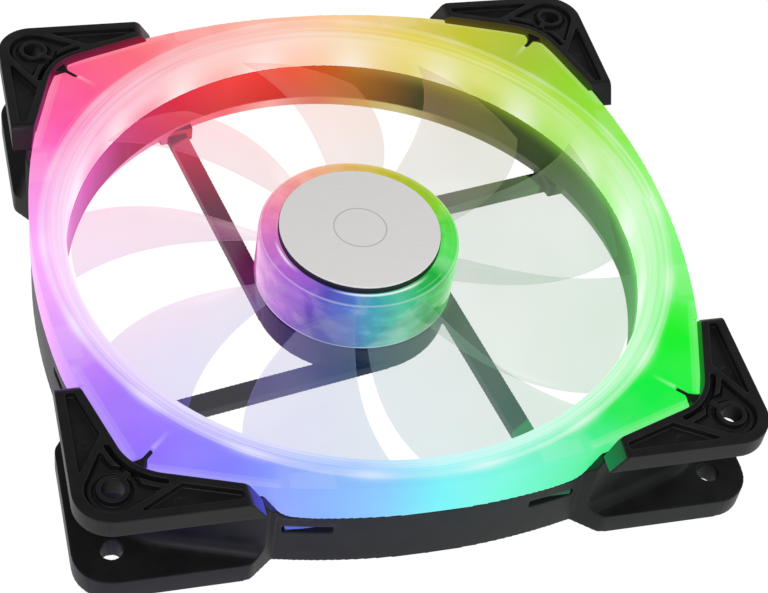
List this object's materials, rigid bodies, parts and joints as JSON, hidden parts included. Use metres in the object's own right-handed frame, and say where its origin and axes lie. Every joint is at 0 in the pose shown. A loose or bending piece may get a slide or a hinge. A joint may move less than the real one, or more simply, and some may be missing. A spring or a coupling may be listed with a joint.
{
  "type": "case fan",
  "caption": "Square axial computer case fan with a lit translucent front ring, clear bladed impeller on a round hub, pinwheel rear arms and corner pads with screw holes.",
  "frame": {"origin": "on the rotor axis, at the rear mounting face", "axes": "+Z along the rotor axis out of the front (inlet) face, +X right and +Y up the face"},
  "size_m": [0.14, 0.14, 0.025],
  "materials": {
    "black_plastic": "fine moulded satin black",
    "pad_black": "satin black, moulded pockets",
    "diffuser": "milky translucent, lit from inside",
    "white_board": "white solder mask",
    "emitter": "white package",
    "clear_plastic": "clear, polished",
    "disc_metal": "fine brushed silver",
    "foam_black": "black backing pad",
    "yoke_steel": "zinc plated",
    "magnet": "bonded ferrite",
    "boss_brass": "turned",
    "shaft_steel": "ground",
    "nylon": "natural nylon",
    "sintered_bronze": "sintered, oiled",
    "seal_black": "matt",
    "lamination": "stamped laminations",
    "copper_wire": "enamelled copper",
    "board_green": "green solder mask",
    "chip_black": "moulded epoxy",
    "smd_tan": "ceramic chip parts",
    "wire_black": "vinyl sleeve",
    "label_paper": "blank silver-grey label"
  },
  "bodies": {
    "housing": {"frame_housing": "black_plastic", "light_ring": "diffuser", "pad_front_left": "pad_black", "pad_front_right": "pad_black", "pad_rear_right": "pad_black", "pad_rear_left": "pad_black", "ring_board": "white_board", "ring_emitters": "emitter", "thrust_pad": "nylon", "retaining_clip": "nylon", "bearing_sleeve": "sintered_bronze", "bearing_tube": "boss_brass", "oil_seal": "seal_black", "stator_core": "lamination", "insulator_upper": "nylon", "insulator_lower": "nylon", "coils": "copper_wire", "motor_board": "board_green", "driver_chip": "chip_black", "hall_sensor": "chip_black", "board_parts": "smd_tan", "hub_emitters": "emitter", "link_wires": "wire_black", "rear_label": "label_paper"},
    "rotor": {"impeller": "clear_plastic", "hub_disc": "disc_metal", "hub_disc_pad": "foam_black", "rotor_yoke": "yoke_steel", "ring_magnet": "magnet", "shaft_boss": "boss_brass", "shaft": "shaft_steel"}
  },
  "joints": [
    {"name": "rotor_spin", "type": "hinge", "parent": "housing", "child": "rotor", "pos_m": [0, 0, 0], "axis": [0, 0, 1], "continuous": true}
  ]
}
